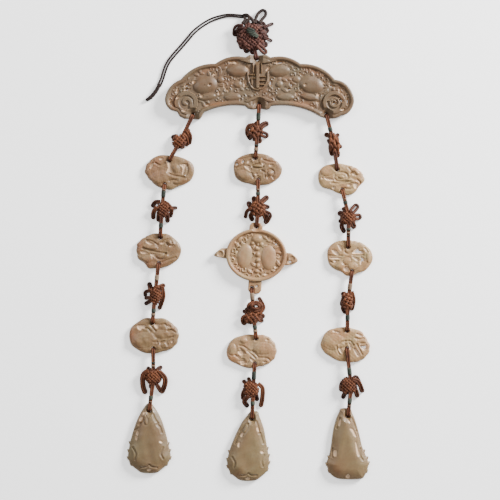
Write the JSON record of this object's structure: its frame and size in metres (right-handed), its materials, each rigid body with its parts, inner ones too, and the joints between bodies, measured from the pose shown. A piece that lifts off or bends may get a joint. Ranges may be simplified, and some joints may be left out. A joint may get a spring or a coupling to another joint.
{
  "type": "carved jade hanging ornament",
  "caption": "Cloud-shaped openwork jade plaque with strands of flat carved jades tied together by knotted silk cord, lying flat on its back.",
  "frame": {"origin": "under the middle of the ornament's plan, on the surface it lies on, measured without the free hanging cords", "axes": "+Y up the ornament as worn, from the drops to the plaque; +X to the right as seen from the front; +Z out of the carved front"},
  "size_m": [0.1968, 0.3766, 0.0095],
  "materials": {
    "jade_grey": "polished grey-green jade with brown stains in the recesses",
    "jade_warm": "polished pinkish-brown jade",
    "jade_olive": "polished olive-brown jade, smooth and domed",
    "silk_brown": "braided brown silk cord, dull sheen"
  },
  "bodies": {
    "root": {"top_plaque": "jade_grey", "left_oval_1": "jade_warm", "left_oval_2": "jade_warm", "left_oval_3": "jade_warm", "centre_oval_1": "jade_warm", "centre_oval_2": "jade_warm", "right_oval_1": "jade_warm", "right_oval_2": "jade_warm", "right_oval_3": "jade_warm", "medallion": "jade_warm", "left_drop": "jade_olive", "centre_drop": "jade_olive", "right_drop": "jade_olive", "left_knot_1": "silk_brown", "left_knot_2": "silk_brown", "left_knot_3": "silk_brown", "left_knot_4": "silk_brown", "centre_knot_1": "silk_brown", "centre_knot_2": "silk_brown", "centre_knot_3": "silk_brown", "centre_knot_4": "silk_brown", "right_knot_1": "silk_brown", "right_knot_2": "silk_brown", "right_knot_3": "silk_brown", "right_knot_4": "silk_brown", "top_knot": "silk_brown", "hanging_cord_outer": "silk_brown", "hanging_cord_inner": "silk_brown", "cord_tip_binding": "silk_brown"}
  },
  "joints": []
}
